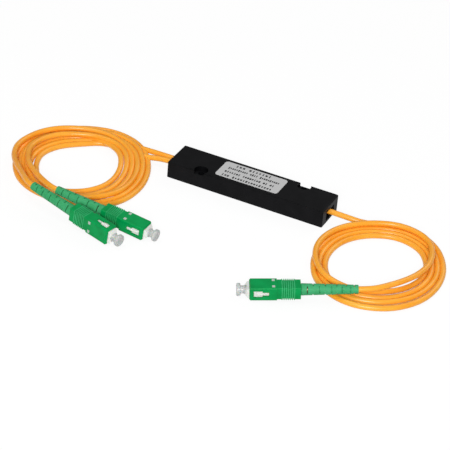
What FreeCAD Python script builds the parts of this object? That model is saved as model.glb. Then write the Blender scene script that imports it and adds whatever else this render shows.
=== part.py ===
# A 1 x 2 fused biconical taper splitter: a black moulded box that holds the fused fibres in a steel tube,
# one 3 mm orange input lead and two output leads, each coiled and ended in a green push-pull angled plug.
# Millimetres. +X along the box towards the input end, +Z up, origin at the centre of the box's underside.
import FreeCAD, Part
import math
import os

V = FreeCAD.Vector
os.makedirs("parts", exist_ok=True)

# The box
BOX_L = 90.0
BOX_W = 20.0
BOX_H = 9.5
BOX_END = BOX_L / 2
BOX_EDGE_R = 0.7
WALL_SIDE = 2.5
WALL_TOP = 1.5
COVER_RIM = 1.3
COVER_T = 1.2
COVER_GAP = 0.1
LABEL_L = 0.4 * BOX_L
LABEL_W = BOX_W - 5.0
LABEL_T = 0.12
LABEL_X = -0.7
LABEL_R = 1.6
FIX_X = LABEL_L / 2 + 8.2
FIX_Y = BOX_W / 2 - 2.2
FIX_HOLE_R = 1.6
FIX_SINK_R = 3.75
FIX_SINK_DEPTH = 2.2
BOSS_WALL = 1.2
WINDOW_W = 10.0
WINDOW_TOP = 6.4
WINDOW_SILL = COVER_RIM

# Cable and its exits
CABLE_D = 3.0
CABLE_Z = 4.6
OUT_Y = 1.6
ANCHOR_FACE = BOX_END - WALL_SIDE - 0.1
ANCHOR_L = 6.0
ANCHOR_W = BOX_W - 2 * WALL_SIDE - 3.0
ANCHOR_TOP = BOX_H - WALL_TOP - 0.4
CABLE_IN = ANCHOR_FACE + 0.2
JACKET_END = ANCHOR_FACE - 3.4

# The fused coupler inside its tube
TUBE_D = 3.0
TUBE_BORE_D = 2.4
TUBE_L = 0.6 * BOX_L
SEAL_L = 2.6
SEAL_FACE = TUBE_L / 2 - SEAL_L
FIBRE_D = 0.25
WAIST_D = 0.10
WAIST_L = 6.0
TAPER_L = 5.0
FIBRE_HALF = SEAL_FACE + 0.1
QUARTZ_L = TUBE_L - 18.0
QUARTZ_W = 1.6
QUARTZ_H = 0.7
BEAD_L = 3.0
BEAD_R = 0.62
BUFFER_D = 0.9
BUFFER_GAP = 0.55

# The push-pull plug, in its own frame: X forward with 0 at the grip's rear face, Z out of the marked face
GRIP_L = 25.0
GRIP_W = 9.1
GRIP_H = 7.4
GRIP_STEP = 11.6
GRIP_REAR_W = 8.0
GRIP_REAR_H = 6.7
GRIP_FRONT_R = 0.8
GRIP_REAR_R = 0.6
GRIP_NOSE = 0.6
RIB_COUNT = 6
RIB_PITCH = 1.0
RIB_FIRST = 3.4
RIB_DEPTH = 0.22
RIB_EDGE = 0.4
MARK_X = 13.3
MARK_Y = 2.65
MARK_L = 1.4
MARK_W = 1.7
MARK_DEPTH = 0.25
LATCH_X0 = 15.5
LATCH_X1 = 22.9
LATCH_STEP = 18.6
LATCH_H = 3.8
LATCH_H_REAR = 2.3
FRAME_GAP = 0.15
FRAME_FRONT = 26.9
FRAME_NOSE = 1.0
FRAME_STEP = 17.0
FRAME_REAR = 4.0
FRAME_W = 6.9
FRAME_H = 5.0
FRAME_REAR_H = 5.5
FRAME_BORE_D = 4.0
CHAMBER_D = 4.6
CHAMBER_END = 17.1
FERRULE_D = 2.5
FERRULE_L = 10.5
FERRULE_TIP = 27.6
FERRULE_ANGLE = 8.0
FLANGE_D = 4.2
FLANGE_T = 1.5
CUP_D = 3.6
CUP_L = 3.5
STEM_D = 2.5
STEM_L = 3.5
FLANGE_BORE_D = 1.0
SPRING_MEAN_D = 3.7
SPRING_WIRE_D = 0.45
SPRING_TURNS = 4.5
SPRING_STEPS = 10
SPRING_SIDES = 8
POST_FRONT = 9.0
POST_COLLAR_D = 5.3
POST_TAIL_D = 3.4
POST_REAR = -4.0
POST_BORE_D = 2.0
POST_CUP_D = 3.1
POST_CUP_L = 2.2
CRIMP_OD = 4.3
CRIMP_ID = 3.5
CRIMP_FRONT = 2.4
CRIMP_REAR = -5.0
BOOT_FRONT = 2.5
BOOT_REAR = -28.0
BOOT_D = 6.0
BOOT_TAIL_D = 4.4
BOOT_COLLAR_D = 5.4
BOOT_WALL_GAP = 0.1
SLOT_W = 0.55
SLOT_DEPTH = 0.75
SLOT_ARC = 92.0
SLOTS_SIDE = (3.1, 9.0, 14.9, 20.0, 24.1)
SLOTS_TOP = (6.0, 11.9, 17.5, 22.1, 26.0)
BOOT_TWIST = {"input": 22.0, "output_a": 66.0, "output_b": -32.0}
CAP_BORE_GAP = 0.05
CAP_SLEEVE_D = 3.4
CAP_SLEEVE_REAR = 20.9
CAP_CONE_D = 4.9
CAP_CONE_L = 0.8
CAP_NECK_D = 3.9
CAP_NECK_L = 1.5
CAP_KNOB_D = 6.3
CAP_KNOB_T = 2.0
CAP_EDGE = 0.35

# Where each plug lies: centre of the grip's front face, yaw, downward pitch and roll in degrees
PLUGS = {
    "input": (V(BOX_END - 5.8, -84.2, 3.80), -152.5, 3.5, 0.0),
    "output_a": (V(5.7 - BOX_END, -80.9, 4.86), -11.6, 6.2, 90.0),
    "output_b": (V(18.3 - BOX_END, -66.7, 3.95), -1.0, 6.2, 0.0),
}

# Coils, as the closed ring their turns fill: centre, half axes and turn of the outer and inner outline
COIL_H = 6.4
COIL_EDGE = 1.2
INPUT_COIL = ((BOX_END + 38.3, -27.3, 41.8, 33.3, 99.2), (BOX_END + 36.1, -26.3, 26.8, 19.0, 56.3))
OUTPUT_COIL = ((-BOX_END - 42.5, -26.3, 45.2, 38.1, 119.8), (-BOX_END - 41.9, -30.3, 22.4, 19.4, 77.7))

# Uncoiled stretches: hand-chosen points; a tail starts on its plug's axis, TAIL_START and TAIL_BEND behind
TAIL_START = -5.2
TAIL_BEND = -36.0
INPUT_LEAD = (V(CABLE_IN, 0, CABLE_Z), V(CABLE_IN + 10.4, 0.9, 4.5), V(BOX_END + 19.0, 4.5, 3.0))
OUTPUT_LEAD_A = (V(-CABLE_IN, OUT_Y, CABLE_Z), V(-CABLE_IN - 11.4, 1.7, 4.5), V(-BOX_END - 21.0, 3.6, 3.0))
OUTPUT_LEAD_B = (V(-CABLE_IN, -OUT_Y, CABLE_Z), V(-CABLE_IN - 9.4, -1.7, 4.5), V(-BOX_END - 17.0, -3.6, 3.0))
TAIL_END = {
    "input": V(BOX_END + 62.5, -30.0, 3.0),
    "output_a": V(-BOX_END - 74.0, -41.0, 3.0),
    "output_b": V(-BOX_END - 63.0, -42.0, 3.2),
}


def save(name, shape, merge=True):
    if merge and len(shape.Solids) == 1:
        shape = shape.removeSplitter()
    print(name, "solids", len(shape.Solids), "valid", shape.isValid(), "volume", round(shape.Volume, 2))
    shape.exportStep("parts/" + name + ".step")


def block(x0, x1, y0, y1, z0, z1):
    return Part.makeBox(x1 - x0, y1 - y0, z1 - z0, V(x0, y0, z0))


def centred(x0, x1, w, h):
    return block(x0, x1, -w / 2, w / 2, -h / 2, h / 2)


def rod(x0, x1, d, y=0.0, z=0.0):
    return Part.makeCylinder(d / 2, x1 - x0, V(x0, y, z), V(1, 0, 0))


def cone(x0, x1, d0, d1):
    return Part.makeCone(d0 / 2, d1 / 2, x1 - x0, V(x0, 0, 0), V(1, 0, 0))


def edges_along(shape, axis, test=lambda p: True):
    found = []
    for e in shape.Edges:
        if len(e.Vertexes) != 2:
            continue
        a, b = e.Vertexes[0].Point, e.Vertexes[1].Point
        d = b - a
        if d.Length > 1e-6 and abs(abs(d.normalize().dot(axis)) - 1) < 1e-6 and test((a + b) * 0.5):
            found.append(e)
    return found


def ellipse_face(cx, cy, a, b, turn):
    c, s = math.cos(math.radians(turn)), math.sin(math.radians(turn))
    e = Part.Ellipse(V(cx + a * c, cy + a * s, 0), V(cx - b * s, cy + b * c, 0), V(cx, cy, 0))
    return Part.Face(Part.Wire([e.toShape()]))


def tube(name, points, d):
    """A tube of diameter d along straight runs joined by tangent arcs."""
    edges = []
    start = points[0]
    for i in range(1, len(points) - 1):
        p, q, r = points[i - 1], points[i], points[i + 1]
        u = (p - q).normalize()
        w = (r - q).normalize()
        half = (math.pi - u.getAngle(w)) / 2
        reach = 0.45 * min((p - q).Length, (r - q).Length)
        radius = reach / math.tan(half)
        a = q + u * reach
        b = q + w * reach
        middle = (u + w).normalize()
        mid = q + middle * (radius / math.cos(half) - radius)
        print(name, "bend", i, "radius", round(radius, 1))
        edges.append(Part.LineSegment(start, a).toShape())
        edges.append(Part.Arc(a, mid, b).toShape())
        start = b
    edges.append(Part.LineSegment(start, points[-1]).toShape())
    path = Part.Wire(edges)
    ring = Part.Wire([Part.Circle(points[0], points[1] - points[0], d / 2).toShape()])
    solid = path.makePipeShell([ring], True, False)
    ideal = math.pi * d * d / 4 * path.Length
    print(name, "length", round(path.Length, 1), "volume", round(solid.Volume, 2), "of", round(ideal, 2))
    return solid


def boss_places():
    return ((-FIX_X, -FIX_Y), (FIX_X, FIX_Y))


def make_housing():
    half_l, half_w = BOX_END, BOX_W / 2
    body = block(-half_l, half_l, -half_w, half_w, 0, BOX_H)
    body = body.makeFillet(BOX_EDGE_R, edges_along(body, V(0, 0, 1)))
    top = [e for e in body.Edges if e.BoundBox.ZMin > BOX_H - 0.01]
    body = body.makeFillet(BOX_EDGE_R, top)
    rim = COVER_RIM
    body = body.cut(block(-half_l + rim, half_l - rim, -half_w + rim, half_w - rim, -1, WINDOW_SILL))
    cavity = block(-half_l + WALL_SIDE, half_l - WALL_SIDE, -half_w + WALL_SIDE, half_w - WALL_SIDE,
                   WINDOW_SILL - 0.1, BOX_H - WALL_TOP)
    body = body.cut(cavity)
    shell = block(-half_l + 0.3, half_l - 0.3, -half_w + 0.3, half_w - 0.3, 0, BOX_H - 0.3)
    for x, y in boss_places():
        boss = Part.makeCylinder(FIX_SINK_R + BOSS_WALL, BOX_H - 0.3, V(x, y, 0)).common(shell)
        body = body.fuse(boss)
    for x, y in boss_places():
        body = body.cut(Part.makeCylinder(FIX_HOLE_R, BOX_H + 2, V(x, y, -1)))
        body = body.cut(Part.makeCylinder(FIX_SINK_R, FIX_SINK_DEPTH + 1, V(x, y, BOX_H - FIX_SINK_DEPTH)))
    for s in (-1, 1):
        x0, x1 = sorted((s * (half_l + 1), s * (half_l - WALL_SIDE - 0.5)))
        body = body.cut(block(x0, x1, -WINDOW_W / 2, WINDOW_W / 2, WINDOW_SILL, WINDOW_TOP))
    return body


def make_cover():
    g = COVER_RIM + COVER_GAP
    plate = block(-BOX_END + g, BOX_END - g, -BOX_W / 2 + g, BOX_W / 2 - g, 0, COVER_T)
    for x, y in boss_places():
        plate = plate.cut(Part.makeCylinder(FIX_SINK_R + BOSS_WALL + COVER_GAP, COVER_T + 2, V(x, y, -1)))
    return plate


def make_label():
    sheet = block(LABEL_X - LABEL_L / 2, LABEL_X + LABEL_L / 2, -LABEL_W / 2, LABEL_W / 2, BOX_H, BOX_H + LABEL_T)
    return sheet.makeFillet(LABEL_R, edges_along(sheet, V(0, 0, 1)))


def make_anchor(side, cable_ys):
    """The set resin that grips a cable's end just behind the window."""
    near, far = sorted((side * ANCHOR_FACE, side * (ANCHOR_FACE - ANCHOR_L)))
    body = block(near, far, -ANCHOR_W / 2, ANCHOR_W / 2, WINDOW_SILL, ANCHOR_TOP)
    for y in cable_ys:
        x0, x1 = sorted((side * (ANCHOR_FACE + 1), side * JACKET_END))
        body = body.cut(rod(x0, x1, CABLE_D, y, CABLE_Z))
        x0, x1 = sorted((side * (JACKET_END + 1), side * (ANCHOR_FACE - ANCHOR_L - 1)))
        body = body.cut(rod(x0, x1, BUFFER_D, y, CABLE_Z))
    return body


def make_steel_tube():
    half = TUBE_L / 2
    body = rod(-half, half, TUBE_D, 0, CABLE_Z).cut(rod(-half - 1, half + 1, TUBE_BORE_D, 0, CABLE_Z))
    return body


def quartz_top():
    return CABLE_Z - FIBRE_D / 2 - 0.02


def make_quartz():
    z1 = quartz_top()
    return block(-QUARTZ_L / 2, QUARTZ_L / 2, -QUARTZ_W / 2, QUARTZ_W / 2, z1 - QUARTZ_H, z1)


def make_bead(side):
    """The drop of epoxy that holds the fibres to one end of the quartz."""
    x = side * (QUARTZ_L / 2 - BEAD_L / 2 - 0.5)
    z1 = quartz_top()
    drop = rod(x - BEAD_L / 2, x + BEAD_L / 2, 2 * BEAD_R, 0, z1)
    drop = drop.common(block(x - BEAD_L, x + BEAD_L, -1, 1, z1, z1 + 1))
    return drop.cut(make_fibres())


def drawn(stations):
    """A fibre lofted straight from ring to ring, each given as (x, y, diameter)."""
    rings = [Part.Wire([Part.Circle(V(x, y, CABLE_Z), V(1, 0, 0), d / 2).toShape()]) for x, y, d in stations]
    return Part.makeLoft(rings, True, True)


def make_fibres():
    """Two fibres fused side by side and drawn to a waist: one arm in, two arms out."""
    waist = WAIST_L / 2
    shoulder = waist + TAPER_L
    y = FIBRE_D / 2 + 0.01
    body = drawn([(-waist, 0, WAIST_D), (waist, 0, WAIST_D), (shoulder, 0, FIBRE_D), (FIBRE_HALF, 0, FIBRE_D)])
    for s in (-1, 1):
        arm = drawn([(-FIBRE_HALF, s * y, FIBRE_D), (-shoulder, s * y, FIBRE_D), (-waist + 0.5, 0, WAIST_D)])
        body = body.fuse(arm)
    return body


def make_seal(side, ys):
    x0, x1 = sorted((side * TUBE_L / 2, side * SEAL_FACE))
    body = rod(x0, x1, TUBE_BORE_D, 0, CABLE_Z)
    for y in ys:
        body = body.cut(rod(x0 - 1, x1 + 1, BUFFER_D, y, CABLE_Z))
    return body


def make_buffer(name, side, y_tube, y_cable):
    """A 0.9 mm buffered fibre from the end of the steel tube to the cable's jacket."""
    x0 = side * (SEAL_FACE + 0.2)
    if y_tube == y_cable:
        a, b = sorted((x0, side * (JACKET_END - 0.1)))
        return rod(a, b, BUFFER_D, y_tube, CABLE_Z)
    points = [V(x0, y_tube, CABLE_Z), V(side * (TUBE_L / 2 + 2.5), y_tube, CABLE_Z),
              V(side * (JACKET_END - 4.0), y_cable, CABLE_Z), V(side * (JACKET_END - 0.1), y_cable, CABLE_Z)]
    return tube(name, points, BUFFER_D)


def make_grip():
    front = centred(GRIP_STEP, GRIP_L, GRIP_W, GRIP_H)
    front = front.makeFillet(GRIP_FRONT_R, edges_along(front, V(1, 0, 0)))
    nose = [e for e in front.Edges if e.BoundBox.XMin > GRIP_L - 0.01]
    front = front.makeChamfer(GRIP_NOSE, nose)
    rear = centred(0, GRIP_STEP + 0.5, GRIP_REAR_W, GRIP_REAR_H)
    rear = rear.makeFillet(GRIP_REAR_R, edges_along(rear, V(1, 0, 0)))
    body = front.fuse(rear)
    for i in range(RIB_COUNT):
        x = RIB_FIRST + i * RIB_PITCH
        band = centred(x, x + RIB_PITCH * 0.45, GRIP_REAR_W + 2, GRIP_REAR_H + 2)
        core = centred(x - 1, x + 2, GRIP_REAR_W - 2 * RIB_DEPTH, GRIP_REAR_H - 2 * RIB_DEPTH)
        core = core.makeChamfer(RIB_EDGE, edges_along(core, V(1, 0, 0)))
        body = body.cut(band.cut(core))
    g = 2 * FRAME_GAP
    body = body.cut(centred(-1, GRIP_L + 1, FRAME_W + g, FRAME_H + g))
    body = body.cut(centred(-1, FRAME_STEP + 0.1, FRAME_W + g, FRAME_REAR_H + g))
    body = body.cut(rod(-1, FRAME_REAR, BOOT_D))
    for s in (-1, 1):
        y0, y1 = sorted((s * FRAME_W / 2, s * (GRIP_W / 2 + 1)))
        body = body.cut(block(LATCH_STEP, LATCH_X1, y0, y1, -LATCH_H / 2, LATCH_H / 2))
        body = body.cut(block(LATCH_X0, LATCH_STEP + 0.1, y0, y1, -LATCH_H_REAR / 2, LATCH_H_REAR / 2))
        body = body.cut(mark(s, GRIP_H / 2 - MARK_DEPTH, GRIP_H / 2 + 1))
    return body


def mark(side, z0, z1):
    y = side * MARK_Y
    return block(MARK_X - MARK_L / 2, MARK_X + MARK_L / 2, y - MARK_W / 2, y + MARK_W / 2, z0, z1)


def make_marks():
    z = GRIP_H / 2
    return Part.makeCompound([mark(s, z - MARK_DEPTH, z) for s in (-1, 1)])


def make_plug_frame():
    front = centred(FRAME_STEP - 0.5, FRAME_FRONT, FRAME_W, FRAME_H)
    nose = [e for e in front.Edges if e.BoundBox.XMin > FRAME_FRONT - 0.01]
    front = front.makeChamfer(FRAME_NOSE, nose)
    rear = centred(FRAME_REAR, FRAME_STEP, FRAME_W, FRAME_REAR_H)
    body = front.fuse(rear)
    body = body.cut(rod(FRAME_REAR - 1, CHAMBER_END, CHAMBER_D))
    body = body.cut(rod(FRAME_REAR, FRAME_FRONT + 1, FRAME_BORE_D))
    for s in (-1, 1):
        y0, y1 = sorted((s * (FRAME_W / 2 - 0.8), s * (FRAME_W / 2 + 1)))
        body = body.cut(block(LATCH_STEP - 1.2, LATCH_X1 - 1.4, y0, y1, -1.3, 1.3))
    return body


def make_ferrule():
    body = rod(FERRULE_TIP - FERRULE_L, FERRULE_TIP + 0.4, FERRULE_D)
    lean = math.radians(FERRULE_ANGLE)
    knife = Part.makeBox(4, 8, 8, V(0, -4, -4))
    knife.rotate(V(0, 0, 0), V(0, 1, 0), FERRULE_ANGLE)
    knife.translate(V(FERRULE_TIP - FERRULE_D / 2 * math.tan(lean), 0, 0))
    return body.cut(knife)


def flange_rear():
    return CHAMBER_END - 0.05 - FLANGE_T


def make_flange():
    x = flange_rear()
    body = rod(x, x + FLANGE_T, FLANGE_D)
    body = body.fuse(rod(x + FLANGE_T, x + FLANGE_T + CUP_L, CUP_D))
    body = body.fuse(rod(x - STEM_L, x, STEM_D))
    body = body.cut(rod(x - STEM_L - 1, x + 8, FLANGE_BORE_D))
    return body.cut(rod(FERRULE_TIP - FERRULE_L, x + 8, FERRULE_D))


def make_spring():
    """The wire runs as short straight pieces around the turns, mitred into each other."""
    r = SPRING_MEAN_D / 2
    start = POST_FRONT + SPRING_WIRE_D / 2 + 0.03
    length = flange_rear() - start - SPRING_WIRE_D / 2 - 0.03
    steps = int(SPRING_TURNS * SPRING_STEPS)
    points = []
    for i in range(steps + 1):
        a = 2 * math.pi * i / SPRING_STEPS
        points.append(V(start + length * i / steps, r * math.cos(a), r * math.sin(a)))
    path = Part.makePolygon(points)
    along = (points[1] - points[0]).normalize()
    across = V(0, 1, 0).cross(along).normalize() * (SPRING_WIRE_D / 2)
    up = along.cross(across)
    corners = [2 * math.pi * k / SPRING_SIDES for k in range(SPRING_SIDES)]
    rim = [points[0] + across * math.cos(a) + up * math.sin(a) for a in corners]
    return path.makePipeShell([Part.makePolygon(rim + rim[:1])], True, False, 1)


def make_post():
    body = rod(FRAME_REAR, POST_FRONT, CHAMBER_D - 0.06)
    body = body.fuse(rod(CRIMP_FRONT + 0.1, FRAME_REAR - 0.05, POST_COLLAR_D))
    body = body.fuse(rod(FRAME_REAR - 0.2, FRAME_REAR + 0.2, CHAMBER_D - 0.06))
    body = body.fuse(rod(POST_REAR, CRIMP_FRONT + 0.2, POST_TAIL_D))
    body = body.cut(rod(POST_FRONT - POST_CUP_L, POST_FRONT + 1, POST_CUP_D))
    return body.cut(rod(POST_REAR - 1, POST_FRONT + 1, POST_BORE_D))


def make_crimp():
    return rod(CRIMP_REAR, CRIMP_FRONT, CRIMP_OD).cut(rod(CRIMP_REAR - 1, CRIMP_FRONT + 1, CRIMP_ID))


def make_boot(twist):
    """The first slots stand across the Y axis, turned by the twist, and the others a quarter turn on."""
    body = cone(BOOT_REAR, -0.25, BOOT_TAIL_D, BOOT_D).fuse(rod(-0.3, BOOT_FRONT, BOOT_COLLAR_D))
    body = body.cut(rod(CRIMP_REAR - 0.3, BOOT_FRONT + 1, CRIMP_OD + BOOT_WALL_GAP))
    body = body.cut(rod(BOOT_REAR - 1, BOOT_FRONT, CABLE_D + BOOT_WALL_GAP))
    for places, offset in ((SLOTS_SIDE, 90), (SLOTS_TOP, 0)):
        for x in places:
            outer = BOOT_D + (BOOT_TAIL_D - BOOT_D) * x / -BOOT_REAR
            inner = rod(-x - SLOT_W / 2 - 1, -x + SLOT_W / 2 + 1, outer - 2 * SLOT_DEPTH)
            for k in (0, 180):
                cutter = Part.makeCylinder(BOOT_D, SLOT_W, V(-x - SLOT_W / 2, 0, 0), V(1, 0, 0), SLOT_ARC)
                cutter.rotate(V(0, 0, 0), V(1, 0, 0), offset + k + twist - SLOT_ARC / 2)
                body = body.cut(cutter.cut(inner))
    return body


def make_cap():
    x = FRAME_FRONT + 0.05
    body = rod(CAP_SLEEVE_REAR, x + 0.2, CAP_SLEEVE_D)
    body = body.fuse(cone(x, x + CAP_CONE_L, CAP_CONE_D, CAP_NECK_D))
    x += CAP_CONE_L
    body = body.fuse(rod(x - 0.1, x + CAP_NECK_L + 0.1, CAP_NECK_D))
    x += CAP_NECK_L
    knob = rod(x, x + CAP_KNOB_T, CAP_KNOB_D)
    knob = knob.makeChamfer(CAP_EDGE, [e for e in knob.Edges if len(e.Vertexes) == 1 and e.Closed])
    body = body.fuse(knob)
    return body.cut(rod(CAP_SLEEVE_REAR - 1, FERRULE_TIP + 0.6, FERRULE_D + 2 * CAP_BORE_GAP))


def placed(shape, key, rolled=True):
    at, yaw, pitch, roll = PLUGS[key]
    out = shape.copy()
    out.translate(V(-GRIP_L, 0, 0))
    if rolled:
        out.rotate(V(0, 0, 0), V(1, 0, 0), roll)
    out.rotate(V(0, 0, 0), V(0, 1, 0), pitch)
    out.rotate(V(0, 0, 0), V(0, 0, 1), yaw)
    out.translate(at)
    return out


def on_axis(key, x):
    at, yaw, pitch, roll = PLUGS[key]
    y, p = math.radians(yaw), math.radians(pitch)
    f = V(math.cos(p) * math.cos(y), math.cos(p) * math.sin(y), -math.sin(p))
    return at + f * (x - GRIP_L)


def channel(key):
    """The room that a plug and its boot need where they lie on a coil, open upwards."""
    turned = PLUGS[key][3] != 0
    half_w = (GRIP_H if turned else GRIP_W) / 2 + 0.5
    low = -(GRIP_W if turned else GRIP_H) / 2 - 0.4
    room = block(-0.6, GRIP_L + 9, -half_w, half_w, low, 25)
    room = room.fuse(block(BOOT_REAR - 0.4, 0, -BOOT_D / 2 - 0.4, BOOT_D / 2 + 0.4, -BOOT_D / 2 - 0.3, 25))
    return placed(room, key, rolled=False)


def make_coil(outline, keys):
    outer, inner = outline
    hole = ellipse_face(*inner).extrude(V(0, 0, COIL_H + 2))
    hole.translate(V(0, 0, -1))
    body = ellipse_face(*outer).extrude(V(0, 0, COIL_H)).cut(hole)
    body = body.makeChamfer(COIL_EDGE, [e for e in body.Edges if e.BoundBox.ZMin > COIL_H - 0.01])
    for key in keys:
        body = body.cut(channel(key))
    return body


def make_plugs():
    pieces = {
        "grip": make_grip(), "grip_marks": make_marks(), "plug_frame": make_plug_frame(),
        "ferrule": make_ferrule(), "ferrule_flange": make_flange(), "spring": make_spring(),
        "back_post": make_post(), "crimp_ring": make_crimp(), "dust_cap": make_cap(),
    }
    for key in PLUGS:
        for name, shape in pieces.items():
            save(name + "_" + key, placed(shape, key))
        save("boot_" + key, placed(make_boot(BOOT_TWIST[key]), key))


def make_cords():
    save("input_lead", tube("input_lead", INPUT_LEAD, CABLE_D))
    save("output_lead_a", tube("output_lead_a", OUTPUT_LEAD_A, CABLE_D))
    save("output_lead_b", tube("output_lead_b", OUTPUT_LEAD_B, CABLE_D))
    for key, name in (("input", "input_tail"), ("output_a", "output_tail_a"), ("output_b", "output_tail_b")):
        points = [on_axis(key, TAIL_START), on_axis(key, TAIL_BEND), TAIL_END[key]]
        print(name, "points", [[round(c, 2) for c in p] for p in points])
        save(name, tube(name, points, CABLE_D))
    save("input_coil", make_coil(INPUT_COIL, ["input"]), merge=False)
    save("output_coil", make_coil(OUTPUT_COIL, ["output_a", "output_b"]), merge=False)


def make_box_pieces():
    save("housing", make_housing())
    save("bottom_cover", make_cover())
    save("label", make_label())
    save("cable_anchor_input", make_anchor(1, (0,)))
    save("cable_anchor_output", make_anchor(-1, (-OUT_Y, OUT_Y)))
    save("steel_tube", make_steel_tube())
    save("quartz_substrate", make_quartz())
    save("fused_taper", make_fibres())
    save("epoxy_bead_input", make_bead(1))
    save("epoxy_bead_output", make_bead(-1))
    save("tube_seal_input", make_seal(1, (0,)))
    save("tube_seal_output", make_seal(-1, (-BUFFER_GAP, BUFFER_GAP)))
    save("buffer_tube_input", make_buffer("buffer_tube_input", 1, 0, 0))
    save("buffer_tube_output_a", make_buffer("buffer_tube_output_a", -1, BUFFER_GAP, OUT_Y))
    save("buffer_tube_output_b", make_buffer("buffer_tube_output_b", -1, -BUFFER_GAP, -OUT_Y))


make_box_pieces()
make_plugs()
make_cords()
for key in PLUGS:
    at, yaw, pitch, roll = PLUGS[key]
    axis = on_axis(key, 1) - on_axis(key, 0)
    print("axis", key, [round(c, 6) for c in axis], "front", [round(c, 2) for c in on_axis(key, FRAME_FRONT)])
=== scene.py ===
# %% [markdown]
# A fused biconical taper splitter, dressed in Blender
#
# The part is a black moulded box with one orange fibre lead at its right end and two at its left. Each
# lead is wound into a loose coil and ends in a green push-pull plug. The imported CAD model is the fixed
# frame. This lesson gives that frame its real finishes, and lays the cords and the small parts round it.
# Lengths are in millimetres, and MM turns them to Blender's metres.

# %% Load the frame
import math
import bmesh
import bpy
from mathutils import Matrix, Vector


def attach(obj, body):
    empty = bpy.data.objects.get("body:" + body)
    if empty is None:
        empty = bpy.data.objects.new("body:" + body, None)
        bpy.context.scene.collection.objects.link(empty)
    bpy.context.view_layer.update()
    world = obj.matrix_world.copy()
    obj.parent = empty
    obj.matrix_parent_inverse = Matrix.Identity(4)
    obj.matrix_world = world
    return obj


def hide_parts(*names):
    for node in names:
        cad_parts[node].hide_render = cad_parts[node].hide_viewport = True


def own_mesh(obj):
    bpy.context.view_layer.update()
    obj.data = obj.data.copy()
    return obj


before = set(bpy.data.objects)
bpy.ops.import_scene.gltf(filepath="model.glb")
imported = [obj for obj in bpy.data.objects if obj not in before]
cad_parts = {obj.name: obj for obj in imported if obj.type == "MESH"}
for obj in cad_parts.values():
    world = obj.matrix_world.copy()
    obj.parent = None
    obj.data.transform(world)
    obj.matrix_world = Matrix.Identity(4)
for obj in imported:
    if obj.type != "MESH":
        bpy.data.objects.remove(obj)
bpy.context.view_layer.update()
MM = 0.001
print("CAD nodes", len(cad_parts))

# %% [markdown]
# The camera
#
# The photograph was taken from the front, a little to the right and from above, with a long lens. A
# camera is just a matrix: three axes and a place. Building the axes from three angles keeps every number
# readable, and the aim point on the floor sets what lies at the middle of the picture.

# %% Camera
AZIMUTH = math.radians(23.632)
ELEVATION = math.radians(33.396)
ROLL = math.radians(5.047)
DISTANCE = 1.0
AIM = Vector((1.821, -34.683, 0.0)) * MM
FOCAL_PIXELS = 1955.34
PICTURE_PIXELS = 450
SENSOR = 36.0
NEAR, FAR = 0.05, 10.0


def make_camera():
    """The photograph's camera, from its three angles, its distance and its focal length."""
    data = bpy.data.cameras.new("camera")
    data.sensor_width = SENSOR
    data.lens = FOCAL_PIXELS * SENSOR / PICTURE_PIXELS
    data.clip_start, data.clip_end = NEAR, FAR
    camera = bpy.data.objects.new("camera", data)
    bpy.context.scene.collection.objects.link(camera)
    back = Vector((math.sin(AZIMUTH) * math.cos(ELEVATION), -math.cos(AZIMUTH) * math.cos(ELEVATION),
                   math.sin(ELEVATION)))
    level = Vector((math.cos(AZIMUTH), math.sin(AZIMUTH), 0))
    upright = back.cross(level)
    right = level * math.cos(ROLL) + upright * math.sin(ROLL)
    up = upright * math.cos(ROLL) - level * math.sin(ROLL)
    turn = Matrix((right, up, back)).transposed().to_4x4()
    camera.matrix_world = Matrix.Translation(AIM + back * DISTANCE) @ turn
    bpy.context.scene.camera = camera
    print("lens in mm", round(data.lens, 1))


make_camera()

# %% [markdown]
# Colour and node helpers
#
# Colours are written as the hex values that a colour picker shows. Blender works in linear light, so one
# function turns a hex value to linear. One more adds a node with its settings and links, which keeps each
# material short enough to read as a recipe.

# %% Helpers for colours and nodes


def linear(hex_value):
    """The linear RGBA of an sRGB hex value."""
    parts = [int(hex_value[i:i + 2], 16) / 255 for i in (0, 2, 4)]
    return [c / 12.92 if c <= 0.04045 else ((c + 0.055) / 1.055) ** 2.4 for c in parts] + [1.0]


def add(material, kind, links=(), **values):
    """A node of that kind. Values go to its inputs by name, or to its settings, and links are
    (input, other node, output of the other node)."""
    node = material.node_tree.nodes.new("ShaderNode" + kind)
    for name, value in values.items():
        socket = name.replace("_", " ")
        if socket in node.inputs:
            node.inputs[socket].default_value = value
        else:
            setattr(node, name, value)
    for name, other, output in links:
        material.node_tree.links.new(other.outputs[output], node.inputs[name])
    return node


def start_material(name):
    """A node material with no nodes yet."""
    material = bpy.data.materials.new(name)
    material.use_nodes = True
    material.node_tree.nodes.clear()
    return material


def finish_material(material, shader):
    """The material with its shader linked to its output."""
    output = add(material, "OutputMaterial")
    material.node_tree.links.new(shader.outputs[0], output.inputs["Surface"])
    return material


# %% [markdown]
# The floor and the light
#
# The object lies on a plain white table in a soft box. The floor is white to the camera by its own light,
# so the picture's ground is clean, and a part of it stays a plain matt surface that takes the object's
# shadow. The lamps are large, so that shadows are soft, and bright enough for a colour to render about as
# it is written.

# %% Floor
FLOOR_SIDE = 6.0
FLOOR_DROP = 0.02
FLOOR_SHADOW_SHARE = 0.2


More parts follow.
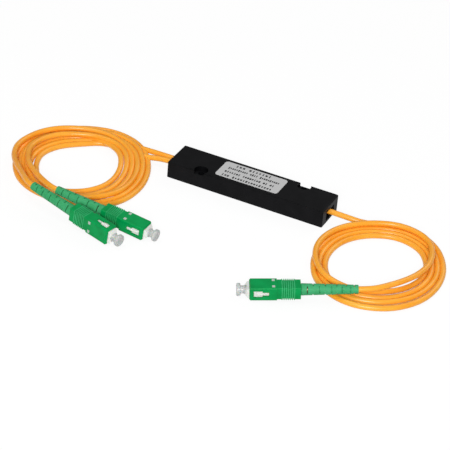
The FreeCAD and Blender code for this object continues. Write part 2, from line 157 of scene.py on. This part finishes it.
def floor_material():
    """White to the camera and in reflections, with a share of matt white that takes the shadow."""
    material = start_material("white_table_seen_as_lit")
    matt = add(material, "BsdfDiffuse", Color=linear("D2D2D2"))
    glow = add(material, "Emission", Color=linear("FFFFFF"), Strength=1.1)
    paths = add(material, "LightPath")
    seen = add(material, "Math", [(0, paths, "Is Camera Ray"), (1, paths, "Is Glossy Ray")],
               operation="MAXIMUM")
    seen = add(material, "Math", [(0, seen, 0), (1, paths, "Is Transmission Ray")],
               operation="MAXIMUM")
    share = add(material, "Math", [(0, seen, 0)], operation="MULTIPLY")
    share.inputs[1].default_value = 1 - FLOOR_SHADOW_SHARE
    mixed = add(material, "MixShader", [("Fac", share, 0)])
    links = material.node_tree.links
    links.new(matt.outputs[0], mixed.inputs[1])
    links.new(glow.outputs[0], mixed.inputs[2])
    return finish_material(material, mixed)


def make_floor():
    """A plane a hair under the object, so that the two never share a face."""
    bpy.ops.object.select_all(action="DESELECT")
    bpy.ops.mesh.primitive_plane_add(size=FLOOR_SIDE, location=(0, 0, -FLOOR_DROP * MM))
    floor = bpy.context.object
    floor.name = "floor"
    floor.data.materials.append(floor_material())
    print("floor", FLOOR_SIDE, "m square")


make_floor()

# %% [markdown]
# The lamps
#
# The photograph's brightest faces are those turned to the lower right, so the key lamp stands low on that
# side. A weaker lamp over the box and one behind it open the shadows. Each is a disk, since a round lamp
# leaves a round, soft highlight on a cord. The world adds a little light from all round, and shows plain
# white to the camera.

# %% Lamps and world

# Name, place in metres, width in metres and power in watts
LAMPS = (
    ("key", (0.45, -1.25, 0.8), 0.6, 18.0),
    ("top", (-0.5, -0.2, 1.6), 0.8, 4.5),
    ("back", (0.3, 1.2, 1.1), 1.0, 5.0),
)
WORLD_LIGHT = 0.3


def make_lamps():
    """Disk lamps that look at the middle of the table."""
    for name, place, size, power in LAMPS:
        data = bpy.data.lights.new(name, "AREA")
        data.shape = "DISK"
        data.size = size
        data.energy = power
        lamp = bpy.data.objects.new(name, data)
        bpy.context.scene.collection.objects.link(lamp)
        lamp.location = place
        lamp.rotation_euler = (-Vector(place)).to_track_quat("-Z", "Y").to_euler()
        print("lamp", name, power, "W")


def make_world():
    """A little light from all round, and plain white where the camera looks past the floor."""
    world = bpy.data.worlds.new("soft_box")
    bpy.context.scene.world = world
    world.use_nodes = True
    nodes, links = world.node_tree.nodes, world.node_tree.links
    nodes.clear()
    around = nodes.new("ShaderNodeBackground")
    around.inputs["Color"].default_value = linear("FFFFFF")
    around.inputs["Strength"].default_value = WORLD_LIGHT
    seen = nodes.new("ShaderNodeBackground")
    seen.inputs["Color"].default_value = linear("FFFFFF")
    seen.inputs["Strength"].default_value = 1.0
    paths = nodes.new("ShaderNodeLightPath")
    mixed = nodes.new("ShaderNodeMixShader")
    output = nodes.new("ShaderNodeOutputWorld")
    links.new(paths.outputs["Is Camera Ray"], mixed.inputs["Fac"])
    links.new(around.outputs[0], mixed.inputs[1])
    links.new(seen.outputs[0], mixed.inputs[2])
    links.new(mixed.outputs[0], output.inputs["Surface"])


make_lamps()
make_world()
bpy.context.scene.view_settings.view_transform = "Standard"

# %% [markdown]
# Where the plugs lie
#
# Each plug was built in its own frame, with X along its axis and 0 at the rear face of its grip, and then
# turned and moved to where it lies on the table. The same numbers place what this script adds to it: the
# middle of the grip's front face, and three angles in degrees, for its heading, its dip and its roll.

# %% Places of the plugs
GRIP_L = 25.0
BOOT_END = -28.0
PLUGS = {
    "input": (Vector((39.2, -84.2, 3.80)), -152.5, 3.5, 0.0),
    "output_a": (Vector((-39.3, -80.9, 4.86)), -11.6, 6.2, 90.0),
    "output_b": (Vector((-26.7, -66.7, 3.95)), -1.0, 6.2, 0.0),
}


def plug_matrix(key):
    """From a plug's own frame in mm to the table in metres."""
    place, yaw, pitch, roll = PLUGS[key]
    turn = (Matrix.Rotation(math.radians(yaw), 4, "Z")
            @ Matrix.Rotation(math.radians(pitch), 4, "Y")
            @ Matrix.Rotation(math.radians(roll), 4, "X"))
    from_front = Matrix.Translation((-GRIP_L, 0, 0))
    return Matrix.Scale(MM, 4) @ Matrix.Translation(place) @ turn @ from_front


def on_axis(key, along):
    """The point in mm on a plug's axis, that far in front of the rear face of its grip."""
    return plug_matrix(key) @ Vector((along, 0, 0)) / MM


for key in PLUGS:
    print(key, "boot ends at", [round(c, 1) for c in on_axis(key, BOOT_END)])

# %% [markdown]
# The three cords
#
# Each lead is a 3 mm jacketed fibre cord, 0.75 to 0.92 m long, all of it in view. It is stiff and light, so
# it springs out into a loose ring whose turns cross and fan out. A NURBS spline of order 3 bends as such a
# cord does. Where the cord is free its points are listed one by one, and the turns of a coil come from a
# loop over a few radii and heights, six to a turn, each one read off.

# %% Routes
CABLE_D = 3.0

# The straight start of each cord, from its window in the box out to its coil
INPUT_LEAD = [(42.6, 0, 4.6), (53.0, -0.2, 4.5), (65.0, 2.2, 2.6)]
OUTPUT_LEAD_A = [(-42.6, 1.6, 4.6), (-54.0, 1.7, 4.5), (-66.0, 3.6, 3.0)]
OUTPUT_LEAD_B = [(-42.6, -1.6, 4.6), (-52.0, -1.7, 4.5), (-62.0, -3.6, 3.0)]

# From the last turn of a coil up to the mouth of the boot, and where the cord takes the plug's axis
TAIL_SWEEP = {
    "input": [(103.0, -40.5, 7.0), (96.2, -52.0, 7.6)],
    "output_a": [(-120.5, -41.5, 4.9), (-111.5, -52.5, 6.9), (-101.5, -62.5, 9.3)],
    "output_b": [(-111.5, -42.5, 5.6), (-102.5, -52.0, 7.2), (-92.0, -60.2, 9.0)],
}
TAIL_ON_AXIS = {
    "input": (-34.0, -22.0, -5.2),
    "output_a": (-32.0, -22.0, -5.2),
    "output_b": (-31.5, -22.0, -5.2),
}

# Centre of a coil, how oval it is, and the angle of its long axis
INPUT_RING = ((82.5, -27.0), 0.118, 99.0)
OUTPUT_RING = ((-87.0, -28.0), 0.088, 120.0)

# Mean radius and height of the cord's middle at each station, one row to a turn
INPUT_TURNS = (
    (33.2, 1.6), (35.7, 1.5), (37.6, 1.5), (35.0, 1.5), (34.8, 1.5), (33.5, 1.5),
    (28.9, 1.5), (32.7, 1.5), (34.2, 1.5), (30.2, 1.5), (31.7, 1.5), (30.2, 1.5),
    (26.0, 1.5), (29.7, 1.5), (30.8, 1.5), (26.9, 1.5), (28.5, 1.5), (26.8, 1.5),
    (23.0, 1.5), (26.8, 1.5), (27.4, 1.5), (22.0, 1.5), (30.6, 4.2), (34.9, 4.2),
    (29.2, 4.5), (32.8, 4.9), (26.9, 5.8),
)
OUTPUT_A_TURNS = (
    (36.6, 1.5), (23.3, 1.5), (27.8, 1.5), (29.4, 1.5), (22.6, 1.5), (21.3, 1.5),
    (24.6, 3.6), (26.4, 1.5), (31.0, 1.5), (31.0, 4.4), (36.4, 1.8), (37.7, 1.5),
    (39.2, 3.0), (35.7, 1.5), (37.6, 1.5), (36.4, 1.5), (30.3, 1.5), (28.4, 1.5),
    (30.6, 4.0), (31.3, 4.3), (38.6, 4.3),
)
OUTPUT_B_TURNS = (
    (34.0, 1.5), (20.1, 1.5), (24.6, 1.5), (26.2, 1.5), (31.4, 4.2), (31.6, 2.5),
    (33.0, 4.2), (29.5, 1.5), (32.8, 3.9), (32.6, 1.5), (33.6, 1.5), (34.5, 1.5),
    (36.2, 4.3), (32.6, 1.5), (34.3, 1.5), (34.2, 3.6), (27.4, 1.5), (24.9, 1.5),
    (27.7, 4.2), (25.6, 4.3), (31.4, 4.8),
)

# %% [markdown]
# From a table to turns
#
# A coil could be drawn as a helix, but a real one is looser: each turn has its own size, and lies on or
# beside the last. So the table gives a radius and a height every 60 degrees, and the loop adds a point
# half-way between two of them. Order 3 lets the curve pass close to its points, and the small stretch
# makes up for the little that it cuts off inside them.

# %% The turns of a coil
STATION = 60.0
STRETCH = 1.035


def between(values, i):
    """The value at a station, or half-way to the next one on a smooth curve through its neighbours."""
    low = int(i)
    if i == low:
        return values[low]
    a, b = values[low], values[low + 1]
    before = values[max(low - 1, 0)]
    after = values[min(low + 2, len(values) - 1)]
    return (9 * (a + b) - before - after) / 16


def turns(ring, stations, start, way):
    """Two points to each station round an oval ring, from just past the start angle, one way round."""
    (cx, cy), oval, long_axis = ring
    radii = [s[0] for s in stations]
    heights = [s[1] for s in stations]
    points = []
    for step in range(1, 2 * len(stations) - 1):
        angle = start + way * step * STATION / 2
        swell = 1 + oval * math.cos(math.radians(2 * (angle - long_axis)))
        r = between(radii, step / 2) * swell * STRETCH
        z = max(between(heights, step / 2), CABLE_D / 2)
        turned = math.radians(angle)
        points.append((cx + r * math.cos(turned), cy + r * math.sin(turned), z))
    return points


def tail(key):
    """From the coil's last turn up into the boot and along the plug's axis."""
    return TAIL_SWEEP[key] + [on_axis(key, along) for along in TAIL_ON_AXIS[key]]


ROUTES = {
    "input": INPUT_LEAD + turns(INPUT_RING, INPUT_TURNS, 120.0, -1) + tail("input"),
    "output_a": OUTPUT_LEAD_A + turns(OUTPUT_RING, OUTPUT_A_TURNS, 60.0, 1) + tail("output_a"),
    "output_b": OUTPUT_LEAD_B + turns(OUTPUT_RING, OUTPUT_B_TURNS, 60.0, 1) + tail("output_b"),
}
print("points on each cord", {key: len(points) for key, points in ROUTES.items()})

# %% [markdown]
# The cords themselves
#
# A cord is one open spline with a round bevel: half the diameter as its depth. It stays a curve, so that
# its route can still be changed by hand, and its true length is read from a bare copy turned to a mesh.

# %% Cords


def spline_length(curve):
    """The length in metres of a curve's own line, read from a copy without its bevel."""
    bare = curve.copy()
    bare.bevel_depth = 0
    probe = bpy.data.objects.new("probe", bare)
    line = bpy.data.meshes.new_from_object(probe)
    bpy.data.objects.remove(probe)
    ends = [[line.vertices[i].co for i in edge.vertices] for edge in line.edges]
    return sum((a - b).length for a, b in ends)


def make_cord(key):
    """One open NURBS spline with a round bevel."""
    curve = bpy.data.curves.new("cord_" + key, "CURVE")
    curve.dimensions = "3D"
    curve.resolution_u = 8
    curve.bevel_depth = CABLE_D / 2 * MM
    curve.bevel_resolution = 6
    curve.use_fill_caps = True
    points = ROUTES[key]
    spline = curve.splines.new("NURBS")
    spline.points.add(len(points) - 1)
    for point, place in zip(spline.points, points):
        point.co = (*(Vector(place) * MM), 1.0)
    spline.order_u = 3
    spline.use_endpoint_u = True
    cord = bpy.data.objects.new("cord_" + key, curve)
    bpy.context.scene.collection.objects.link(cord)
    length = spline_length(curve)
    print(cord.name, "length in mm", round(length / MM))
    return cord, length


CORDS = {key: make_cord(key) for key in ROUTES}

# %% [markdown]
# The jacket of the cords
#
# The jacket is a low-smoke polyolefin, extruded and cooled in water. It looks like a soft, slightly waxy
# plastic with a satin shine, a little light goes into it, and its colour wanders by a shade along the
# cord. Noise in Object coordinates gives that drift, and a finer noise gives the faint drawn skin.

# %% Jacket material
JACKET_DRIFT = 16.67
JACKET_SKIN = 0.5
JACKET_DEPTH = 0.5
JACKET_DEPTH_RGB = (1.0, 0.45, 0.15)


def cord_jacket_material():
    """Extruded polyolefin: a warm orange that drifts by a shade, under a satin skin."""
    material = start_material("extruded_polyolefin_jacket_orange")
    place = add(material, "TexCoord")
    drift = add(material, "TexNoise", [("Vector", place, "Object")],
                Scale=1 / (JACKET_DRIFT * MM), Detail=2.0)
    shade = add(material, "ValToRGB", [("Fac", drift, "Fac")])
    shade.color_ramp.elements[0].position, shade.color_ramp.elements[1].position = 0.3, 0.7
    shade.color_ramp.elements[0].color = linear("F49F20")
    shade.color_ramp.elements[1].color = linear("FCAF36")
    skin = add(material, "TexNoise", [("Vector", place, "Object")],
               Scale=1 / (JACKET_SKIN * MM), Detail=3.0)
    bump = add(material, "Bump", [("Height", skin, "Fac")],
               Strength=0.12, Distance=JACKET_SKIN * MM / 10)
    shader = add(material, "BsdfPrincipled",
                 [("Base Color", shade, "Color"), ("Normal", bump, "Normal")],
                 Roughness=0.33, IOR=1.49, Specular_IOR_Level=0.5, Subsurface_Weight=0.05,
                 Subsurface_Scale=JACKET_DEPTH * MM, Subsurface_Radius=JACKET_DEPTH_RGB)
    return finish_material(material, shader)


JACKET = cord_jacket_material()

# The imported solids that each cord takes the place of: its lead, its coil and its tail
STANDS_FOR = {
    "input": ("input_lead", "input_coil", "input_tail"),
    "output_a": ("output_lead_a", "output_coil", "output_tail_a"),
    "output_b": ("output_lead_b", "output_coil", "output_tail_b"),
}
for key, (cord, length) in CORDS.items():
    cord.data.materials.append(JACKET)
    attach(cord, "root")
    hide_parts(*STANDS_FOR[key])
    print(cord.name, "stands for", STANDS_FOR[key])

# %% [markdown]
# Moulded plastics
#
# The box is ABS from a spark-eroded tool, which leaves a fine even grain and a dull sheen. The grips are
# PBT, smoother and brighter. The boots are a soft elastomer, lighter in colour and with a skin that
# scatters light. The same recipe makes all of them: a slow drift of shade, a fine grain as bump, and a
# roughness that wanders a little where fingers have polished the surface.

# %% The recipe of a moulded plastic
SHADE_DRIFT = 5.556
WEAR = 0.06
SOFT_DEPTH = 0.8


def moulded_material(name, dark, light, roughness, grain_mm, grain_strength, soft=0.0, shine=0.5):
    """A moulded plastic: two close shades, a grain of that real size and a mean roughness."""
    material = start_material(name)
    place = add(material, "TexCoord")
    drift = add(material, "TexNoise", [("Vector", place, "Object")],
                Scale=1 / (SHADE_DRIFT * MM), Detail=3.0)
    shade = add(material, "ValToRGB", [("Fac", drift, "Fac")])
    shade.color_ramp.elements[0].position, shade.color_ramp.elements[1].position = 0.35, 0.65
    shade.color_ramp.elements[0].color = linear(dark)
    shade.color_ramp.elements[1].color = linear(light)
    grain = add(material, "TexNoise", [("Vector", place, "Object")],
                Scale=1 / (grain_mm * MM), Detail=2.0)
    bump = add(material, "Bump", [("Height", grain, "Fac")],
               Strength=grain_strength, Distance=grain_mm * MM / 4)
    wear = add(material, "MapRange", [("Value", drift, "Fac")],
               To_Min=roughness - WEAR, To_Max=roughness + WEAR)
    shader = add(material, "BsdfPrincipled",
                 [("Base Color", shade, "Color"), ("Roughness", wear, "Result"),
                  ("Normal", bump, "Normal")],
                 IOR=1.53, Subsurface_Weight=soft, Subsurface_Scale=SOFT_DEPTH * MM,
                 Specular_IOR_Level=shine)
    print("material", name)
    return finish_material(material, shader)


# %% Plastics

# The box: nearly black, and its fine grain breaks the light up so that no face mirrors the room
BLACK_ABS = moulded_material("moulded_abs_black", "08080A", "0E0E10", 0.5, 0.35, 0.3, shine=0.08)

# The grips: a strong clean green with a low, broad shine
GRIP_PBT = moulded_material("moulded_pbt_green", "008A45", "00984E", 0.34, 0.25, 0.1, shine=0.1)

# The boots: paler and duller than the grips, since light goes a little way into the elastomer
BOOT_TPE = moulded_material("moulded_elastomer_boot_green", "349A60", "42A56E", 0.48, 0.3, 0.2, 0.05,
                            shine=0.15)

# The bars in the grips and the inner frames: white PBT. The bars are painted a dull grey-green, a painted
# shade with a painted reflection of the green grip beside them
MARK_PBT_PAINTED_SHADE = moulded_material("moulded_pbt_white_painted_shade_and_green_reflection", "A9B5AD", "B9C4BC", 0.4, 0.25, 0.1)
FRAME_PBT = moulded_material("moulded_pbt_white", "E0E0DC", "EAEAE6", 0.35, 0.25, 0.1, 0.1)

# Inside the box: glossy set resin, milky seals and the pale tubes that guide the fibres
SET_RESIN = moulded_material("cast_epoxy_resin_black", "101010", "1B1B1B", 0.25, 0.8, 0.15)
SILICONE = moulded_material("cured_silicone_white", "CFCFCB", "DEDEDA", 0.45, 0.6, 0.2, 0.2)
BUFFER = moulded_material("extruded_nylon_buffer_white", "E2E0D9", "ECEAE4", 0.4, 0.4, 0.1, 0.15)

# %% [markdown]
# Metals, ceramic and glass
#
# The tube and the crimp rings are drawn metal, whose fine lines run round the part. The ferrule is
# polished zirconia, the fibres and their carrier are fused silica, and the drops on them are clear amber
# epoxy. A metal has no colour of its own under its shine, so its colour goes in as the base of a metallic
# shader.

# %% The recipes of a drawn metal and a clear solid
LINE_SQUEEZE = (1.0, 0.15, 0.15)
LINE_DEPTH = 0.02
METAL_WEAR = 0.08
CLOUD = 1.5
CLEAR_WEAR, SMOOTHEST = 0.05, 0.02
CLEAR_DEPTH, MILKINESS = 1.0, 0.25


def drawn_metal_material(name, tone, roughness, line_mm):
    """Drawn or turned metal: fine lines across the axis, too fine to count, seen as a broken shine."""
    material = start_material(name)
    place = add(material, "TexCoord")
    squeeze = add(material, "Mapping", [("Vector", place, "Object")], Scale=LINE_SQUEEZE)
    lines = add(material, "TexNoise", [("Vector", squeeze, "Vector")],
                Scale=1 / (line_mm * MM), Detail=3.0)
    rough = add(material, "MapRange", [("Value", lines, "Fac")],
                To_Min=roughness - METAL_WEAR, To_Max=roughness + METAL_WEAR)
    bump = add(material, "Bump", [("Height", lines, "Fac")], Strength=0.1, Distance=LINE_DEPTH * MM)
    shader = add(material, "BsdfPrincipled",
                 [("Roughness", rough, "Result"), ("Normal", bump, "Normal")],
                 Metallic=1.0, Base_Color=linear(tone))
    print("material", name)
    return finish_material(material, shader)


def clear_material(name, tone, roughness, ior, clear):
    """A clear or milky solid: glass, epoxy, zirconia or the polythene of a cap."""
    material = start_material(name)
    place = add(material, "TexCoord")
    cloud = add(material, "TexNoise", [("Vector", place, "Object")],
                Scale=1 / (CLOUD * MM), Detail=2.0)
    rough = add(material, "MapRange", [("Value", cloud, "Fac")],
                To_Min=max(roughness - CLEAR_WEAR, SMOOTHEST), To_Max=roughness + CLEAR_WEAR)
    shader = add(material, "BsdfPrincipled", [("Roughness", rough, "Result")],
                 Base_Color=linear(tone), IOR=ior, Transmission_Weight=clear,
                 Subsurface_Weight=MILKINESS * (1 - clear), Subsurface_Scale=CLEAR_DEPTH * MM)
    print("material", name)
    return finish_material(material, shader)


# %% Metals, ceramic and glass

# Cool grey metals, each with a streaked shine: the tube, the springs and the turned parts
STEEL = drawn_metal_material("drawn_stainless_steel", "B5B8BB", 0.3, 0.2)
SPRING_STEEL = drawn_metal_material("coiled_spring_steel", "AEB0B2", 0.28, 0.15)
NICKEL = drawn_metal_material("turned_brass_nickel_plated", "C9C9CB", 0.26, 0.15)

# The crimp rings have gone dark and brown, and show only through the boots' slots
CRIMP = drawn_metal_material("drawn_copper_alloy_crimp", "655B44", 0.34, 0.2)

# Glass that is all but invisible, and drops of epoxy that glow amber against it
SILICA = clear_material("fused_silica", "F2F6F7", 0.06, 1.46, 0.9)
EPOXY = clear_material("cured_epoxy_amber", "D8B56A", 0.15, 1.55, 0.6)

# A dense white ceramic with a hard shine, and a milky cap that lets some light through
ZIRCONIA = clear_material("polished_zirconia", "F4F2EC", 0.12, 2.1, 0.0)
POLYTHENE = clear_material("moulded_polythene_natural", "D4D7D5", 0.32, 1.51, 0.35)

# %% [markdown]
# The label
#
# A thermal-printed polyester label, matt and silver grey, sits between the two fixing holes. It could be
# drawn as a metal, but its flakes lie under a dull coat, so a rough plastic of that grey looks more like it
# and doesn't flare when a lamp stands opposite.

# %% Label film
FLAKE = 0.2


def label_film_material():
    """A dull silver grey with a fine fleck."""
    material = start_material("printed_polyester_film_silver")
    place = add(material, "TexCoord")
    flakes = add(material, "TexNoise", [("Vector", place, "Object")],
                 Scale=1 / (FLAKE * MM), Detail=2.0)
    shade = add(material, "ValToRGB", [("Fac", flakes, "Fac")])
    shade.color_ramp.elements[0].color = linear("B4B4B4")
    shade.color_ramp.elements[1].color = linear("CACACA")
    shader = add(material, "BsdfPrincipled", [("Base Color", shade, "Color")],
                 Roughness=0.68, IOR=1.57, Specular_IOR_Level=0.25)
    print("material", material.name)
    return finish_material(material, shader)


LABEL_FILM = label_film_material()

# %% [markdown]
# The ribs of the grips
#
# The rear of each grip has a row of thin ribs all the way round, which the fingers pull on. One rib is
# modelled: a block, inset at both ends, opened, and bridged into a ring whose edges are then eased. It
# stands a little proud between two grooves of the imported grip, and copies of it make the row.

# %% One rib of a grip
RIB_T = 0.5
RIB_W, RIB_H = 8.2, 6.9
RIB_BAND = 0.5
RIB_EASE = 0.12


def make_rib():
    """One ring at the origin, standing across the X axis."""
    bpy.ops.object.select_all(action="DESELECT")
    bpy.ops.mesh.primitive_cube_add(size=1.0, location=(0, 0, 0))
    rib = bpy.context.object
    rib.name = "rib"
    bpy.ops.object.mode_set(mode="EDIT")
    bpy.ops.mesh.select_all(action="SELECT")
    bpy.ops.transform.resize(value=(RIB_T * MM, RIB_W * MM, RIB_H * MM))
    bpy.ops.mesh.select_all(action="DESELECT")
    shape = bmesh.from_edit_mesh(rib.data)
    for face in shape.faces:
        looks_along_the_plug = abs(face.normal.x) > 0.9
        face.select_set(looks_along_the_plug)
    bmesh.update_edit_mesh(rib.data)
    bpy.ops.mesh.inset(thickness=RIB_BAND * MM)
    bpy.ops.mesh.delete(type="FACE")
    bpy.ops.mesh.select_all(action="DESELECT")
    bpy.ops.mesh.select_mode(type="EDGE")
    bpy.ops.mesh.select_non_manifold()
    bpy.ops.mesh.bridge_edge_loops()
    bpy.ops.mesh.select_all(action="SELECT")
    bpy.ops.mesh.normals_make_consistent(inside=False)
    bpy.ops.mesh.select_mode(type="VERT")
    bpy.ops.object.mode_set(mode="OBJECT")
    ease = rib.modifiers.new("ease", "BEVEL")
    ease.width = RIB_EASE * MM
    ease.segments = 2
    ease.limit_method = "ANGLE"
    bpy.ops.object.modifier_apply(modifier="ease")
    print("rib faces", len(rib.data.polygons))
    return rib


# %% [markdown]
# Copies of one pattern
#
# The ribs of a grip and the bars of the print repeat. Each copy gets its own mesh, which is moved to its
# place, and the copies are joined into one piece, so that the piece stays at the origin.

# %% The row of ribs on each grip
RIB_FIRST, RIB_PITCH, RIB_COUNT = 3.12, 1.0, 7


def join_copies(pattern, name, places):
    """Copies of a pattern with their own meshes, one at each place, joined into one object."""
    copies = []
    for place in places:
        one = bpy.data.objects.new(name, pattern.data.copy())
        bpy.context.scene.collection.objects.link(one)
        one.data.transform(place)
        copies.append(one)
    bpy.ops.object.select_all(action="DESELECT")
    for one in copies:
        one.select_set(True)
    bpy.context.view_layer.objects.active = copies[0]
    bpy.ops.object.join()
    whole = bpy.context.object
    whole.name = name
    print(name, "copies", len(copies), "faces", len(whole.data.polygons))
    return whole


def make_ribs(pattern, material):
    """A row of ribs for each plug, which rides on its grip."""
    rows = {}
    to_mm = Matrix.Scale(1 / MM, 4)
    for key in PLUGS:
        steps = [Matrix.Translation((RIB_FIRST + RIB_PITCH * i, 0, 0)) for i in range(RIB_COUNT)]
        places = [plug_matrix(key) @ step @ to_mm for step in steps]
        rows[key] = join_copies(pattern, "grip_ribs_" + key, places)
        rows[key].data.materials.append(material)
        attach(rows[key], "grip_" + key)
    bpy.data.objects.remove(pattern)
    return rows


# Painted highlight: the ribs are a lighter green than the grip, for the light that their crests catch
RIB_PBT_PAINTED_LIT = moulded_material("moulded_pbt_green_painted_lit_crests", "2CA563", "3AB272", 0.3, 0.25, 0.1,
                           shine=0.2)
RIBS = make_ribs(make_rib(), RIB_PBT_PAINTED_LIT)

# %% [markdown]
# The print on the label
#
# The maker's words are left off. What stays is the print as a generic field: four rows of small dark
# bars, grouped as words would be. A texture could draw them, but slips of ink stay crisp from any side. One
# bar is modelled: a plane whose corners are cut back and which is then drawn up by the ink's thickness.
# The rest are copies.

# %% One bar of the print
INK_T = 0.015
BAR_W, BAR_H = 0.72, 2.1


def make_bar():
    """One bar of ink at the origin: a plane with its corners cut, drawn up by the ink's thickness."""
    bpy.ops.object.select_all(action="DESELECT")
    bpy.ops.mesh.primitive_plane_add(size=1.0, location=(0, 0, 0))
    bar = bpy.context.object
    bar.name = "print_bar"
    bpy.ops.object.mode_set(mode="EDIT")
    bpy.ops.mesh.select_all(action="SELECT")
    bpy.ops.transform.resize(value=(BAR_W * MM, BAR_H * MM, 1.0))
    bpy.ops.mesh.bevel(offset=BAR_W / 4 * MM, segments=1, affect="VERTICES")
    bpy.ops.mesh.select_all(action="SELECT")
    bpy.ops.mesh.extrude_region_move(TRANSFORM_OT_translate={"value": (0, 0, INK_T * MM)})
    bpy.ops.mesh.select_all(action="SELECT")
    bpy.ops.mesh.normals_make_consistent(inside=False)
    bpy.ops.object.mode_set(mode="OBJECT")
    print("bar faces", len(bar.data.polygons))
    return bar


# %% [markdown]
# Setting the rows
#
# A loop over the rows, the words of a row and the bars of a word works like a hand setting type. Five
# shapes of bar take turns, which keeps a word from looking like a comb, and a row that is set wider gets
# wider bars, though less than in proportion.

# %% Print on the label
LABEL_TOP = 9.62
BAR_PITCH = 1.02
WIDENS = 0.6

# How wide and how tall each shape of bar is, as shares of the modelled one
BAR_SHAPES = ((1.0, 1.0), (0.8, 0.7), (1.2, 0.75), (0.6, 1.0), (1.1, 0.7))

# Left end and middle of each row, how wide it is set, and the number of bars in each of its words
PRINT_ROWS = (
    (-11.4, 5.3, 1.85, (3, 7)),
    (-14.6, 2.0, 1.12, (10, 4, 10)),
    (-14.8, -1.9, 1.28, (7, 8, 2, 2)),
    (-14.8, -5.6, 1.5, (3, 15)),
)


def make_print(bar):
    """All bars as one mesh on the label."""
    places = []
    for left, middle, spread, words in PRINT_ROWS:
        x = left
        for count in words:
            for i in range(count):
                wide, tall = BAR_SHAPES[(i * i + count) % len(BAR_SHAPES)]
                places.append(Matrix.Translation(Vector((x, middle, LABEL_TOP)) * MM)
                              @ Matrix.Diagonal((wide * spread ** WIDENS, tall, 1, 1)))
                x += BAR_PITCH * spread
            x += BAR_PITCH * spread
    whole = join_copies(bar, "label_print", places)
    bpy.data.objects.remove(bar)
    return whole


LABEL_PRINT = make_print(make_bar())

# Ribbon ink: a soft dark grey, a little glossier than the film under it
INK = moulded_material("thermal_transfer_ink_grey", "242426", "303032", 0.5, 0.2, 0.1, shine=0.2)
LABEL_PRINT.data.materials.append(INK)
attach(LABEL_PRINT, "root")

# %% [markdown]
# The springs behind the ferrules
#
# Behind each ferrule a small coil spring gives way when the plug is pushed home. The imported spring is
# solid and keeps its length, and a copy of it takes its place at that same length. The imported triangles
# are loose, so the copy's doubles are merged.

# %% Springs behind the ferrules
SAME_POINT = 0.001


def make_spring(key):
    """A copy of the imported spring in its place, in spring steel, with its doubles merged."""
    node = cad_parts["spring_" + key]
    spring = bpy.data.objects.new("float_spring_" + key, node.data.copy())
    bpy.context.scene.collection.objects.link(spring)
    bpy.ops.object.select_all(action="DESELECT")
    bpy.context.view_layer.objects.active = spring
    spring.select_set(True)
    bpy.ops.object.mode_set(mode="EDIT")
    bpy.ops.mesh.select_all(action="SELECT")
    bpy.ops.mesh.remove_doubles(threshold=SAME_POINT * MM)
    bpy.ops.object.mode_set(mode="OBJECT")
    spring.data.materials.clear()
    spring.data.materials.append(SPRING_STEEL)
    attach(spring, "root")
    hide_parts(node.name)
    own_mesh(spring)
    print(spring.name, "faces", len(spring.data.polygons))
    return spring


SPRINGS = {key: make_spring(key) for key in PLUGS}

# %% [markdown]
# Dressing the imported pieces
#
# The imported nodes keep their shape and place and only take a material. Each is named after its kind, so a
# short table from kind to material dresses all of them. The longest kind that fits wins, which tells the
# grip's marks from the grip.

# %% Finishes of the CAD nodes
FINISHES = {
    "housing": BLACK_ABS, "bottom_cover": BLACK_ABS, "label": LABEL_FILM, "cable_anchor": SET_RESIN,
    "steel_tube": STEEL, "quartz_substrate": SILICA, "fused_taper": SILICA, "epoxy_bead": EPOXY,
    "tube_seal": SILICONE, "buffer_tube": BUFFER, "grip_marks": MARK_PBT_PAINTED_SHADE, "grip": GRIP_PBT,
    "plug_frame": FRAME_PBT, "ferrule_flange": NICKEL, "ferrule": ZIRCONIA, "spring": SPRING_STEEL,
    "back_post": NICKEL, "crimp_ring": CRIMP, "boot": BOOT_TPE, "dust_cap": POLYTHENE,
}


def dress_nodes():
    """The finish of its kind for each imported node. The cords' solids are hidden and have none."""
    dressed = 0
    for name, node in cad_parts.items():
        kinds = [kind for kind in FINISHES if name.startswith(kind)]
        if kinds:
            node.data.materials.clear()
            node.data.materials.append(FINISHES[max(kinds, key=len)])
            dressed += 1
    print("dressed", dressed, "of", len(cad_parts), "nodes")


dress_nodes()
